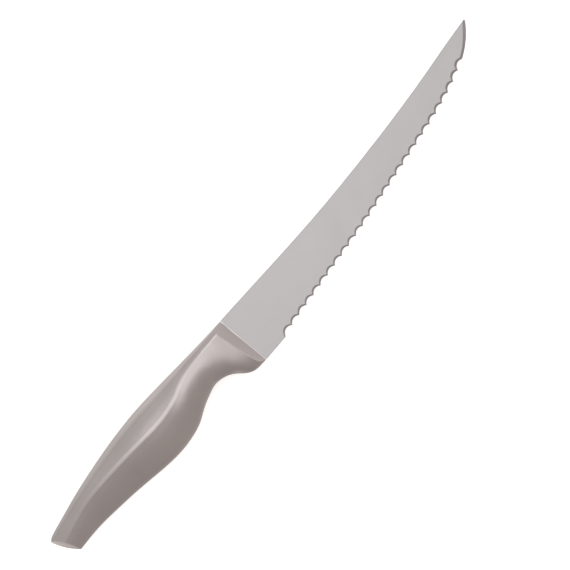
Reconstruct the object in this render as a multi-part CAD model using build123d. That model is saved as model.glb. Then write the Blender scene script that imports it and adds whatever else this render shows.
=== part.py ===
from build123d import *
from math import cos, hypot, radians, sin, tan
import os

# Bread knife made all of stainless steel: a scalloped blade welded to a hollow steel handle.
# The knife lies on its side. X runs from butt to tip, Y from cutting edge to spine and Z is up.
# The outlines are drawn with X = 0 at the front face of the bolster and Z = 0 in the middle of the
# blade's thickness. The last step moves everything so that the knife stands on Z = 0.

# Blade
STOCK_HALF = 1.0            # half the thickness of the blade steel at the bolster, on the spine side
GRIND_PER_Y = 0.022         # half thickness lost per millimetre from spine to edge
GRIND_PER_X = 0.0022        # half thickness lost per millimetre from bolster to tip
HEEL_Y = -29.0              # height of the plain edge at the heel
HEEL_END_X = 15.5           # where the plain heel stops and the first scallop starts
HEEL_ROUND = 0.2
SPINE_ROUND = 0.25
SPINE_SHARE = 0.9           # the edges rounded along the spine are longer than this share of the blade
TIP_X = 192.5
TIP_Y = 6.0
SPINE_LINE = [(0.0, 0.6), (30.0, -0.3), (70.0, -1.2), (100.0, -0.7), (130.0, 0.65), (160.0, 2.95),
              (180.0, 5.0)]
EDGE_LINE = [(22.0, -27.75), (52.0, -25.25), (82.0, -22.55), (112.0, -18.85), (142.0, -14.9),
             (158.0, -12.1), (170.0, -8.7), (182.0, -3.3), (192.0, 5.0)]
BLANK_MARGIN = 0.15         # the blank stands this far outside the scallop tips before grinding

# Scallops, ground from the right-hand side of the blade only
SCALLOP_PITCH = 6.03
SCALLOP_END_X = 176.0
GRIND_ANGLE = 35.0          # angle between the grinding wheel's path and the blade
WHEEL_RADIUS = 5.6
WHEEL_LENGTH = 24.0         # long enough that its ends stay clear of the blade
# Bevel of the plain edge between the last scallop and the tip, on the same side
EDGE_BEVEL_DEPTH = 0.75
EDGE_BEVEL_WIDTH = 1.3
EDGE_BEVEL_SECTIONS = 8
EDGE_BEVEL_REACH = 1.95     # how far its cutter runs past the bevel's middle to each side
EDGE_BEVEL_OVERRUN = 1.0    # and past the tip

# Tang and its joint
TANG_LENGTH = 38.0
TANG_TOP_Y = -2.5
TANG_BOTTOM_Y = -15.5
TANG_HALF = 1.0
LAND_LENGTH = 0.5           # strip of blade under the weld bead
LAND_STEP = 0.1             # how much thinner that strip is on each side
NOSE_HALF = 1.1             # half the thickness of the bolster at its front face, at the spine
NOSE_FLARE = 0.025          # added to it for every millimetre toward the edge
NOSE_ANGLE = 45.0
BEVEL_ROUND = 0.5
BEAD_HOLLOW = 0.1           # how far the bead's hollow face stays clear of the corner that it fills
BEAD_BACK = 0.125           # how far the bead's upper end lies behind the bolster's front face
BEAD_SINK = 0.05            # and how far below the edge of that face
TOUCHING = 0.01             # an edge this near a face counts as lying on it

# Handle, as lines along X: each entry is (x, value)
BACK_LINE = [(3.0, 0.4), (0.0, 0.6), (-20.0, 1.6), (-40.0, 2.9), (-60.0, 3.9), (-75.0, 3.5), (-90.0, 2.3),
             (-110.0, -0.3), (-125.0, -3.1), (-134.0, -4.9), (-136.0, -5.6), (-138.0, -7.6), (-140.0, -10.5)]
BELLY_LINE = [(3.0, -29.05), (0.0, -29.0), (-5.0, -28.8), (-8.0, -28.0), (-10.0, -26.8), (-12.0, -25.0),
              (-15.0, -21.8), (-18.0, -19.8), (-21.0, -18.6), (-25.0, -18.0), (-30.0, -18.9), (-37.0, -21.2),
              (-45.0, -24.7), (-52.0, -26.2), (-60.0, -26.8), (-70.0, -26.1), (-90.0, -22.9), (-105.0, -21.1),
              (-117.0, -20.1), (-130.0, -20.4), (-140.0, -20.9)]
RIDGE_LINE = [(3.0, -1.7), (-6.0, -1.7), (-20.0, -1.8), (-28.0, -2.3), (-35.0, -3.9), (-42.0, -6.5),
              (-50.0, -8.25), (-60.0, -8.75), (-80.0, -7.35), (-97.0, -6.65), (-110.0, -6.95), (-120.0, -8.45),
              (-140.0, -13.0)]
RIDGE_HEIGHT = [(3.0, 6.85), (-6.0, 6.9), (-20.0, 7.2), (-40.0, 8.0), (-60.0, 8.6), (-80.0, 8.3), (-100.0, 7.2),
                (-120.0, 5.6), (-134.0, 4.3), (-140.0, 3.9)]
# The ridge is a rounding this wide between the two facets
RIDGE_WIDTH = [(3.0, 2.4), (-16.0, 2.4), (-42.0, 2.0), (-100.0, 2.2), (-140.0, 2.2)]
# Slope of each facet where it leaves the ridge
BACK_SLOPE = [(3.0, 0.34), (-6.0, 0.34), (-25.0, 0.26), (-35.0, 0.14), (-42.0, 0.1), (-60.0, 0.08),
              (-80.0, 0.12), (-100.0, 0.15), (-140.0, 0.12)]
BELLY_SLOPE = [(3.0, 0.08), (-8.0, 0.078), (-12.0, 0.06), (-16.0, 0.058), (-25.0, 0.025), (-42.0, 0.05),
               (-50.0, 0.12), (-100.0, 0.15), (-140.0, 0.1)]
# How full each facet is before it turns down to the rim
BACK_FULLNESS = [(3.0, 0.9), (-6.0, 0.9), (-30.0, 0.82), (-60.0, 0.88), (-80.0, 0.82), (-110.0, 0.76),
                 (-140.0, 0.78)]
BELLY_FULLNESS = [(3.0, 0.8), (-8.0, 0.75), (-12.0, 0.64), (-16.0, 0.68), (-25.0, 0.85), (-45.0, 0.74),
                  (-60.0, 0.68), (-110.0, 0.72), (-140.0, 0.78)]
# How far toward the rim each facet keeps its slope, as a share of its depth
BACK_REACH = 0.6
BELLY_REACH = [(3.0, 0.9), (-12.0, 0.9), (-16.0, 0.85), (-25.0, 0.5), (-60.0, 0.42), (-140.0, 0.42)]
STATIONS = [3.0, 0.0, -3.0, -5.5, -8.0, -10.0, -12.0, -14.0, -16.0, -18.5, -21.5, -25.0, -29.0, -33.0, -37.0,
            -41.0, -45.0, -50.0, -56.0, -63.0, -72.0, -82.0, -93.0, -104.0, -114.0, -123.0, -130.0, -134.0,
            -136.0, -138.0, -140.0]
WALL = 1.2
SHELL_FRONT_X = -14.0
SPIGOT_LENGTH = 8.0
SEAM_HALF = 0.3
CAVITY_FRONT_X = -8.0       # the hollow is drawn between these two stations
CAVITY_BACK_X = -134.0

# Butt end: a dome that crosses the handle at a slant
BUTT_POINT = (-134.75, -14.0)
BUTT_SLANT = 27.8           # turn of the end away from square
BUTT_BOW = 33.0             # radius of its outline seen from the side of the knife
DOME_RADIUS = 4.7           # radius of its outline seen from the back of the knife
DOME_ARC = 70.0
CAP_RIM = 0.8
CAP_SPIGOT = 5.0

# Sand
SAND_FRONT_X = -44.0

BIG = 60.0


def along(line, x):
    """Value at x on a smooth curve through the points of line, which run toward -X or toward +X."""
    points = sorted(line)
    last = len(points) - 1
    i = max(k for k in range(last) if k == 0 or points[k][0] <= x)
    slopes = []
    for k in (i, i + 1):
        a = points[max(k - 1, 0)]
        b = points[min(k + 1, last)]
        slopes.append((b[1] - a[1]) / (b[0] - a[0]))
    x0, v0 = points[i]
    x1, v1 = points[i + 1]
    span = x1 - x0
    s = (x - x0) / span
    rise = s * s * (3 - 2 * s)
    return v0 + (v1 - v0) * rise + span * (slopes[0] * s * (1 - s) ** 2 - slopes[1] * s * s * (1 - s))


def handle_half_section(x, inset):
    """Control points, as (y, z), of the three curves from the back rim over the ridge to the belly rim."""
    back = along(BACK_LINE, x) - inset
    belly = along(BELLY_LINE, x) + inset
    ridge = along(RIDGE_LINE, x)
    back_slope = along(BACK_SLOPE, x)
    belly_slope = along(BELLY_SLOPE, x)
    half = along(RIDGE_WIDTH, x) / 2
    corner = along(RIDGE_HEIGHT, x) - inset + half * back_slope * belly_slope / (back_slope + belly_slope)
    high_y, high_z = ridge + half, corner - half * back_slope
    low_y, low_z = ridge - half, corner - half * belly_slope
    back_reach = BACK_REACH * (back - high_y)
    belly_reach = along(BELLY_REACH, x) * (low_y - belly)
    upper = [(back, 0), (back, along(BACK_FULLNESS, x) * high_z),
             (high_y + back_reach, high_z - back_slope * back_reach), (high_y, high_z)]
    crest = [(high_y, high_z), (ridge + half / 3, corner - half / 3 * back_slope),
             (ridge - half / 3, corner - half / 3 * belly_slope), (low_y, low_z)]
    lower = [(low_y, low_z), (low_y - belly_reach, low_z - belly_slope * belly_reach),
             (belly, along(BELLY_FULLNESS, x) * low_z), (belly, 0)]
    return [upper, crest, lower]


def handle_section(x, inset):
    """Closed outline of the handle at x, drawn inset inside its outer surface."""
    curves = handle_half_section(x, inset)
    right = [Edge.make_bezier(*[(x, y, z) for y, z in curve]) for curve in curves]
    left = [Edge.make_bezier(*[(x, y, -z) for y, z in curve[::-1]]) for curve in curves[::-1]]
    return Wire(right + left)


def handle_body(inset, front=STATIONS[0], back=STATIONS[-1]):
    """Solid handle, drawn inset inside its outer surface, between two of the stations."""
    return Solid.make_loft([handle_section(x, inset) for x in STATIONS if back <= x <= front])


def slab(x0, x1, z0=-BIG, z1=BIG):
    """Block between two X and two Z values, wider than the knife in Y."""
    block = Box(x1 - x0, 4 * BIG, z1 - z0)
    return Pos((x0 + x1) / 2, 0, (z0 + z1) / 2) * block


def nose_half(y):
    """Half the bolster's thickness at its front face."""
    return NOSE_HALF + NOSE_FLARE * (SPINE_LINE[0][1] - y)


def nose():
    """Everything behind the two flat bevels at the front of the bolster."""
    run = BIG / tan(radians(NOSE_ANGLE))
    sections = []
    for y in (BIG / 2, -BIG):
        half = nose_half(y)
        corners = [(0, half), (-run, half + BIG), (-4 * BIG, half + BIG)]
        corners += [(x, -z) for x, z in corners[::-1]]
        sections.append(Wire.make_polygon([(x, y, z) for x, z in corners]))
    return Solid.make_loft(sections, ruled=True)


def bevel_edges(block):
    """The edges where the two front bevels meet the handle's outer surface."""
    faces = nose().faces()
    return [e for e in block.edges()
            if (e @ 0.5).X < -BEVEL_ROUND and min(f.distance_to(e @ 0.5) for f in faces) < TOUCHING]


def butt_frame(reach):
    """Frame at the middle of the butt, moved reach into the handle, with X pointing out of the butt."""
    out = Vector(-cos(radians(BUTT_SLANT)), -sin(radians(BUTT_SLANT)), 0)
    return Plane(origin=Vector(*BUTT_POINT, 0) - out * reach, x_dir=out, z_dir=(0, 0, 1))


def beyond_butt(depth):
    """Everything outside a dome whose surface lies depth inside the real butt."""
    reach = BUTT_BOW - depth
    radius = DOME_RADIUS - depth
    arc = CenterArc((reach - radius, 0), radius, -DOME_ARC, 2 * DOME_ARC)
    slope = Vector(-sin(radians(DOME_ARC)), cos(radians(DOME_ARC)))
    high = arc @ 1 + slope * (2 * DOME_RADIUS)
    far = reach + 4 * DOME_RADIUS
    outline = [arc, Polyline(arc @ 1, high, (far, high.Y), (far, -high.Y), (high.X, -high.Y), arc @ 0)]
    face = Plane.XZ * make_face(outline)
    ring = Rot(0, 0, -DOME_ARC / 2) * revolve(face, Axis.Z, DOME_ARC)
    return butt_frame(BUTT_BOW).location * ring


def behind_butt(depth):
    """Everything more than depth inside the butt, up to a flat slanted face."""
    block = Box(8 * BIG, 8 * BIG, 2 * BIG)
    return butt_frame(depth).location * Pos(-4 * BIG, 0, 0) * block


def face_height(x, y):
    """Half the blade's thickness at (x, y)."""
    return STOCK_HALF + GRIND_PER_Y * (y - SPINE_LINE[0][1]) - GRIND_PER_X * x


def blade_wedge(step):
    """Everything between the two ground faces of the blade, each lowered by step."""
    wedge = Box(8 * BIG, 2 * BIG, BIG)
    for side in (1, -1):
        normal = Vector(GRIND_PER_X, -GRIND_PER_Y, 1).normalized()
        normal = Vector(normal.X, normal.Y, side * normal.Z)
        face = Plane(origin=(0, 0, side * (face_height(0, 0) - step)), z_dir=normal)
        wedge = split(wedge, bisect_by=face, keep=Keep.BOTTOM)
    return wedge


def scallop_cutter(start, end):
    """Grinding wheel path that leaves one scallop between two tips on the edge line."""
    chord = (end - start).normalized()
    inward = Vector(-chord.Y, chord.X, 0)
    slant = radians(GRIND_ANGLE)
    middle = (start + end) / 2
    half = (end - start).length / 2
    long_axis = WHEEL_RADIUS / sin(slant)
    depth = long_axis * (1 - (1 - (half / WHEEL_RADIUS) ** 2) ** 0.5)
    centre = middle - inward * (long_axis - depth)
    centre = Vector(centre.X, centre.Y, -face_height(middle.X, middle.Y))
    path = inward * cos(slant) + Vector(0, 0, sin(slant))
    return Plane(origin=centre, z_dir=path) * Cylinder(WHEEL_RADIUS, WHEEL_LENGTH)


def scallop_tips():
    """Scallop tips along the edge, one pitch apart, from the heel toward the tip of the blade."""
    tips = [Vector(HEEL_END_X, HEEL_Y, 0), Vector(*EDGE_LINE[0], 0)]
    while tips[-1].X < SCALLOP_END_X:
        x = tips[-1].X
        rise = along(EDGE_LINE, x + SCALLOP_PITCH) - tips[-1].Y
        x += SCALLOP_PITCH * SCALLOP_PITCH / hypot(SCALLOP_PITCH, rise)
        tips.append(Vector(x, along(EDGE_LINE, x), 0))
    return tips


def edge_bevel(start):
    """Everything ground away from the plain edge between X = start and the tip."""
    fall = EDGE_BEVEL_REACH * EDGE_BEVEL_DEPTH / EDGE_BEVEL_WIDTH
    length = TIP_X + EDGE_BEVEL_OVERRUN - start
    sections = []
    for i in range(EDGE_BEVEL_SECTIONS):
        x = start + i * length / (EDGE_BEVEL_SECTIONS - 1)
        y = along(EDGE_LINE, x) - BLANK_MARGIN
        outward = Vector(along(EDGE_LINE, x + 1) - along(EDGE_LINE, x), -1, 0).normalized()
        middle = face_height(x, y) - EDGE_BEVEL_DEPTH
        corners = [(-EDGE_BEVEL_REACH, middle + fall), (EDGE_BEVEL_REACH, middle - fall),
                   (EDGE_BEVEL_REACH, 2 * STOCK_HALF), (-EDGE_BEVEL_REACH, 2 * STOCK_HALF)]
        sections.append(Wire.make_polygon([Vector(x, y, z) + outward * reach for reach, z in corners]))
    return Solid.make_loft(sections, ruled=True)


def make_blade():
    spine = Spline(*SPINE_LINE, (TIP_X, TIP_Y))
    edge = Spline(*[(x, y - BLANK_MARGIN) for x, y in EDGE_LINE[::-1]])
    outline = [
        spine,
        Line((TIP_X, TIP_Y), edge @ 0),
        edge,
        Polyline(edge @ 1, (HEEL_END_X, HEEL_Y), (0, HEEL_Y), SPINE_LINE[0]),
    ]
    blank = extrude(make_face(outline), amount=2 * STOCK_HALF, both=True) & blade_wedge(0)
    under_bead = blank & slab(0, LAND_LENGTH) & blade_wedge(LAND_STEP)
    tang = Box(TANG_LENGTH, TANG_TOP_Y - TANG_BOTTOM_Y, 2 * TANG_HALF)
    tang = Pos(-TANG_LENGTH / 2, (TANG_TOP_Y + TANG_BOTTOM_Y) / 2, 0) * tang
    tips = scallop_tips()
    blade = blank & slab(LAND_LENGTH, 4 * BIG)
    for start, end in zip(tips, tips[1:]):
        blade = blade - scallop_cutter(start, end)
    blade = blade - edge_bevel(tips[-1].X)
    heel = [e for e in blade.edges()
            if abs(e.center().Y - HEEL_Y) < HEEL_ROUND and e.length > HEEL_END_X / 2]
    blade = fillet(heel, HEEL_ROUND)
    back = [e for e in blade.edges() if e.length > SPINE_SHARE * TIP_X and e.center().Y > TANG_TOP_Y]
    blade = fillet(back, SPINE_ROUND)
    return blade + under_bead + tang


def tang_hole():
    return Pos(-BIG, (TANG_TOP_Y + TANG_BOTTOM_Y) / 2, 0) * Box(
        2 * BIG, TANG_TOP_Y - TANG_BOTTOM_Y, 2 * TANG_HALF)


def bead_section(y):
    """Outline of the weld bead at y, from inside the bolster's front face down to the blade's face."""
    low = face_height(LAND_LENGTH, y)
    back = (-BEAD_BACK, nose_half(y) - BEAD_SINK)
    corner = (BEAD_HOLLOW, low + BEAD_HOLLOW)
    toe = (LAND_LENGTH, low)
    sides = Polyline(toe, (toe[0], 0), (back[0], 0), back)
    outline = Wire([*Bezier(back, corner, toe).edges(), *sides.edges()])
    return Plane(origin=(0, y, 0), x_dir=(1, 0, 0), z_dir=(0, -1, 0)) * outline


def make_beads():
    """The two weld beads, above and below the blade."""
    sections = [bead_section(SPINE_LINE[0][1]), bead_section(HEEL_Y)]
    bead = Solid.make_loft(sections, ruled=True) - nose() - blade_wedge(LAND_STEP)
    return Compound(children=[bead.solid(), mirror(bead, Plane.XY).solid()])


def make_knife():
    """Every piece of the knife by name."""
    outside = (handle_body(0) & nose()) - beyond_butt(0)
    cavity = handle_body(WALL, CAVITY_FRONT_X, CAVITY_BACK_X)
    blade = make_blade()

    spigot = cavity & slab(SHELL_FRONT_X - SPIGOT_LENGTH, SHELL_FRONT_X)
    front = outside & slab(SHELL_FRONT_X, BIG)
    front = fillet(bevel_edges(front), BEVEL_ROUND)
    bolster = front + spigot - tang_hole()

    shell = (outside & slab(-4 * BIG, SHELL_FRONT_X)) - cavity - beyond_butt(CAP_RIM)
    right = shell & slab(-4 * BIG, BIG, SEAM_HALF, BIG)
    left = mirror(right, Plane.XY)
    seam = shell & slab(-4 * BIG, BIG, -SEAM_HALF, SEAM_HALF)

    cap_inside = (cavity - behind_butt(CAP_SPIGOT)) - beyond_butt(CAP_RIM)
    cap = (outside & beyond_butt(CAP_RIM)) + cap_inside

    sand = cavity & slab(-4 * BIG, SAND_FRONT_X) & behind_butt(CAP_SPIGOT)
    return {
        "blade": blade,
        "bolster": bolster,
        "blade_weld": make_beads(),
        "handle_shell_right": right,
        "handle_shell_left": left,
        "handle_seam_weld": seam,
        "butt_cap": cap,
        "sand_fill": sand,
    }


if __name__ == "__main__":
    os.makedirs("parts", exist_ok=True)
    knife = make_knife()
    box = Compound(children=[Compound(p.solids()) for p in knife.values()]).bounding_box()
    to_floor = Pos(-box.center().X, -box.center().Y, -box.min.Z)
    for name, piece in knife.items():
        export_step(to_floor * Compound(piece.solids()), f"parts/{name}.step")
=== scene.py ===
import math

import bpy
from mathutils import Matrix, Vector

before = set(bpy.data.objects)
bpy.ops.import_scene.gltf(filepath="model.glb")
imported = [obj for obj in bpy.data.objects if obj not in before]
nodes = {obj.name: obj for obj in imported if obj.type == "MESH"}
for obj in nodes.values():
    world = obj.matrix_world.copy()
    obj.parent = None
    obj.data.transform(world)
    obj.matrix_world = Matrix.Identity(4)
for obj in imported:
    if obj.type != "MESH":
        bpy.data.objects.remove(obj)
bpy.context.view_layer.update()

scene = bpy.context.scene
scene.view_settings.view_transform = "Standard"

# Steel: patches of colour, patches of roughness and two layers of grain, as noise scales per metre
CLOUD_SCALE = 60.0
CLOUD_DETAIL = 3.0
SMEAR_SCALE = 35.0
SMEAR_DETAIL = 4.0
GRAIN_DETAIL = 2.0
GRAIN_STRENGTH = 0.25
GRAIN_DEPTH = 0.00002
FINE_FINER = 2.7                  # how much finer the second layer of grain is
FINE_DETAIL = 1.0
FINE_STRENGTH = 0.2
FINE_DEPTH = GRAIN_DEPTH * 0.5
NOISE_RANGE = (0.3, 0.7)          # where most of the noise lies
EVEN = (1.0, 1.0, 1.0)
SPINE_TO_EDGE = (1.0, 0.05, 1.0)  # grain drawn out along Y

# Sand
SAND_SCALE = 2500.0
SAND_ROUGHNESS = 0.9
SAND_BUMP = (0.8, 0.0003)         # strength and depth in metres

# Floor
FLOOR_SIZE = (6.0, 6.0)
FLOOR_GREY = (0.93, 0.93, 0.93)
FLOOR_GLOW = 0.58
FLOOR_ROUGHNESS = 0.8

# Light tent: (direction from -1 to 1, colour) along each axis, multiplied together
WALL_SIDES = (
    (-0.32, (0.50, 0.46, 0.44)),
    (0.04, (0.70, 0.675, 0.66)),
    (0.35, (0.70, 0.675, 0.66)),
    (0.6, (0.725, 0.70, 0.68)),
    (0.78, (0.66, 0.635, 0.62)),
    (1.0, (0.93, 0.90, 0.88)),
)
WALL_ENDS = (
    (-0.9, (1.0, 1.0, 1.0)),
    (-0.6, (0.51, 0.51, 0.51)),
    (-0.35, (0.51, 0.51, 0.51)),
    (-0.05, (0.593, 0.593, 0.593)),
    (0.6, (0.593, 0.593, 0.593)),
    (1.0, (0.714, 0.70, 0.693)),
)
WALL_HEIGHTS = (
    (-0.5, (1.0, 1.0, 1.0)),
    (-0.1, (0.87, 0.87, 0.87)),
)
WALL_STRENGTH = 2.33

# Camera, in metres and degrees; the lens and sensor in millimetres
VIEW_WIDTH = 0.2824
VIEW_CENTRE = (0.00714, -0.00064, 0.0086)
VIEW_TURN = -49.5
LENS = 150.0
SENSOR = 36.0


# ---- Node helpers

def new_material(name):
    mat = bpy.data.materials.new(name)
    mat.use_nodes = True
    tree = mat.node_tree
    shader = tree.nodes["Principled BSDF"]
    return mat, tree, shader


def noise(tree, scale, detail, stretch=EVEN):
    """Noise in object space; a stretch below 1 draws it out along that axis."""
    coords = tree.nodes.new("ShaderNodeTexCoord")
    tex = tree.nodes.new("ShaderNodeTexNoise")
    tex.inputs["Scale"].default_value = scale
    tex.inputs["Detail"].default_value = detail
    mapping = tree.nodes.new("ShaderNodeMapping")
    mapping.inputs["Scale"].default_value = stretch
    tree.links.new(coords.outputs["Object"], mapping.inputs["Vector"])
    tree.links.new(mapping.outputs["Vector"], tex.inputs["Vector"])
    return tex.outputs["Fac"]


def spread(tree, value, low, high):
    """Maps noise to values from about low to high."""
    node = tree.nodes.new("ShaderNodeMapRange")
    node.clamp = False
    node.inputs["From Min"].default_value = NOISE_RANGE[0]
    node.inputs["From Max"].default_value = NOISE_RANGE[1]
    node.inputs["To Min"].default_value = low
    node.inputs["To Max"].default_value = high
    tree.links.new(value, node.inputs["Value"])
    return node.outputs["Result"]


def mixed(tree, factor, a, b):
    """Colour between a and b."""
    node = tree.nodes.new("ShaderNodeMix")
    node.data_type = "RGBA"
    node.clamp_factor = False
    node.inputs["A"].default_value = (*a, 1.0)
    node.inputs["B"].default_value = (*b, 1.0)
    tree.links.new(factor, node.inputs["Factor"])
    return node.outputs["Result"]


def bumped(tree, shader, *layers):
    """Stacks bump layers, each (height, strength, distance)."""
    normal = None
    for height, strength, distance in layers:
        bump = tree.nodes.new("ShaderNodeBump")
        bump.inputs["Strength"].default_value = strength
        bump.inputs["Distance"].default_value = distance
        tree.links.new(height, bump.inputs["Height"])
        if normal:
            tree.links.new(normal, bump.inputs["Normal"])
        normal = bump.outputs["Normal"]
    tree.links.new(normal, shader.inputs["Normal"])


def paint(mat, *names):
    """Gives the named CAD pieces this material alone."""
    for name in names:
        nodes[name].data.materials.clear()
        nodes[name].data.materials.append(mat)


# ---- Materials

def steel(name, dark, light, rough, grain_scale, grain_stretch=EVEN):
    """Satin steel between two colours and two roughnesses, with a fine grain."""
    mat, tree, shader = new_material(name)
    shader.inputs["Metallic"].default_value = 1.0
    cloud = noise(tree, CLOUD_SCALE, CLOUD_DETAIL)
    tree.links.new(mixed(tree, spread(tree, cloud, 0.0, 1.0), dark, light), shader.inputs["Base Color"])
    smear = noise(tree, SMEAR_SCALE, SMEAR_DETAIL)
    tree.links.new(spread(tree, smear, *rough), shader.inputs["Roughness"])
    grain = noise(tree, grain_scale, GRAIN_DETAIL, grain_stretch)
    fine = noise(tree, grain_scale * FINE_FINER, FINE_DETAIL)
    bumped(tree, shader, (grain, GRAIN_STRENGTH, GRAIN_DEPTH), (fine, FINE_STRENGTH, FINE_DEPTH))
    return mat


def quartz_sand():
    mat, tree, shader = new_material("quartz_sand")
    grains = noise(tree, SAND_SCALE, GRAIN_DETAIL)
    tree.links.new(mixed(tree, grains, (0.45, 0.36, 0.24), (0.8, 0.72, 0.58)), shader.inputs["Base Color"])
    shader.inputs["Roughness"].default_value = SAND_ROUGHNESS
    bumped(tree, shader, (grains, *SAND_BUMP))
    return mat


handle_steel = steel("satin_handle_steel", (0.442, 0.414, 0.409), (0.472, 0.444, 0.439),
                     rough=(0.235, 0.26), grain_scale=2600.0)
blade_steel = steel("satin_blade_steel", (0.391, 0.380, 0.389), (0.405, 0.394, 0.403),
                    rough=(0.285, 0.30), grain_scale=1500.0, grain_stretch=SPINE_TO_EDGE)
# The weld is coloured much brighter than the blade and handle steel. This is a painted highlight that
# stands in for the light line where the blade meets the bolster.
painted_highlight_weld = steel("weld_steel_painted_highlight", (0.70, 0.68, 0.68), (0.74, 0.72, 0.72),
                   rough=(0.285, 0.30), grain_scale=2600.0)

paint(handle_steel, "bolster", "handle_shell_right", "handle_shell_left", "handle_seam_weld", "butt_cap")
paint(blade_steel, "blade")
paint(painted_highlight_weld, "blade_weld")
paint(quartz_sand(), "sand_fill")


# ---- Floor

def floor():
    """A pale plane that glows like a light table and that the steel doesn't reflect."""
    bpy.ops.mesh.primitive_plane_add(size=1.0, location=(0.0, 0.0, 0.0))
    obj = bpy.context.object
    obj.name = "floor"
    obj.scale = (*FLOOR_SIZE, 1.0)
    mat, tree, shader = new_material("floor")
    shader.inputs["Base Color"].default_value = (*FLOOR_GREY, 1.0)
    shader.inputs["Roughness"].default_value = FLOOR_ROUGHNESS
    shader.inputs["Emission Color"].default_value = (*FLOOR_GREY, 1.0)
    shader.inputs["Emission Strength"].default_value = FLOOR_GLOW
    obj.data.materials.append(mat)
    obj.visible_glossy = False


floor()


# ---- Lights

def softbox(name, size, place, aim, power, colour=(1.0, 1.0, 1.0)):
    """Area light at place, turned toward aim."""
    data = bpy.data.lights.new(name, "AREA")
    data.shape = "RECTANGLE"
    data.size, data.size_y = size
    data.energy = power
    data.color = colour
    obj = bpy.data.objects.new(name, data)
    scene.collection.objects.link(obj)
    obj.location = place
    direction = Vector(aim) - Vector(place)
    obj.rotation_euler = direction.to_track_quat("-Z", "Y").to_euler()


softbox("overhead", size=(0.95, 0.505), place=(0.05, -0.0075, 1.6), aim=(0.05, -0.0075, 0.0), power=1.42)
softbox("side", size=(1.0, 0.6), place=(1.3, -0.35, 0.85), aim=(0.0, 0.0, 0.0), power=1.1,
        colour=(1.0, 0.94, 0.92))


def studio_walls():
    """A light tent: brightest toward the butt and far out on the spine side, dimmest on the edge side."""
    world = bpy.data.worlds.new("studio")
    scene.world = world
    world.use_nodes = True
    tree = world.node_tree
    coords = tree.nodes.new("ShaderNodeTexCoord")
    split = tree.nodes.new("ShaderNodeSeparateXYZ")
    tree.links.new(coords.outputs["Generated"], split.inputs["Vector"])

    def ramp(axis, stops):
        """Colour along one axis, from -1 to 1."""
        shift = tree.nodes.new("ShaderNodeMapRange")
        shift.inputs["From Min"].default_value = -1.0
        tree.links.new(split.outputs[axis], shift.inputs["Value"])
        node = tree.nodes.new("ShaderNodeValToRGB")
        elements = node.color_ramp.elements
        while len(elements) < len(stops):
            elements.new(0.5)
        for element, (value, colour) in zip(elements, stops):
            element.position = (value + 1.0) / 2.0
            element.color = (*colour, 1.0)
        tree.links.new(shift.outputs["Result"], node.inputs["Fac"])
        return node.outputs["Color"]

    def times(a, b):
        """Product of two colours."""
        node = tree.nodes.new("ShaderNodeMix")
        node.data_type = "RGBA"
        node.blend_type = "MULTIPLY"
        node.inputs["Factor"].default_value = 1.0
        tree.links.new(a, node.inputs["A"])
        tree.links.new(b, node.inputs["B"])
        return node.outputs["Result"]

    walls = times(ramp("Y", WALL_SIDES), ramp("X", WALL_ENDS))
    background = tree.nodes["Background"]
    tree.links.new(times(walls, ramp("Z", WALL_HEIGHTS)), background.inputs["Color"])
    background.inputs["Strength"].default_value = WALL_STRENGTH


studio_walls()


# ---- Camera: square to the blade, turned so that the knife points up and to the right

camera = bpy.data.cameras.new("camera")
camera.lens = LENS
camera.sensor_width = SENSOR
camera_obj = bpy.data.objects.new("camera", camera)
scene.collection.objects.link(camera_obj)
camera_obj.location = (VIEW_CENTRE[0], VIEW_CENTRE[1], VIEW_CENTRE[2] + VIEW_WIDTH * LENS / SENSOR)
camera_obj.rotation_euler = (0.0, 0.0, math.radians(VIEW_TURN))
scene.camera = camera_obj

bpy.context.view_layer.update()
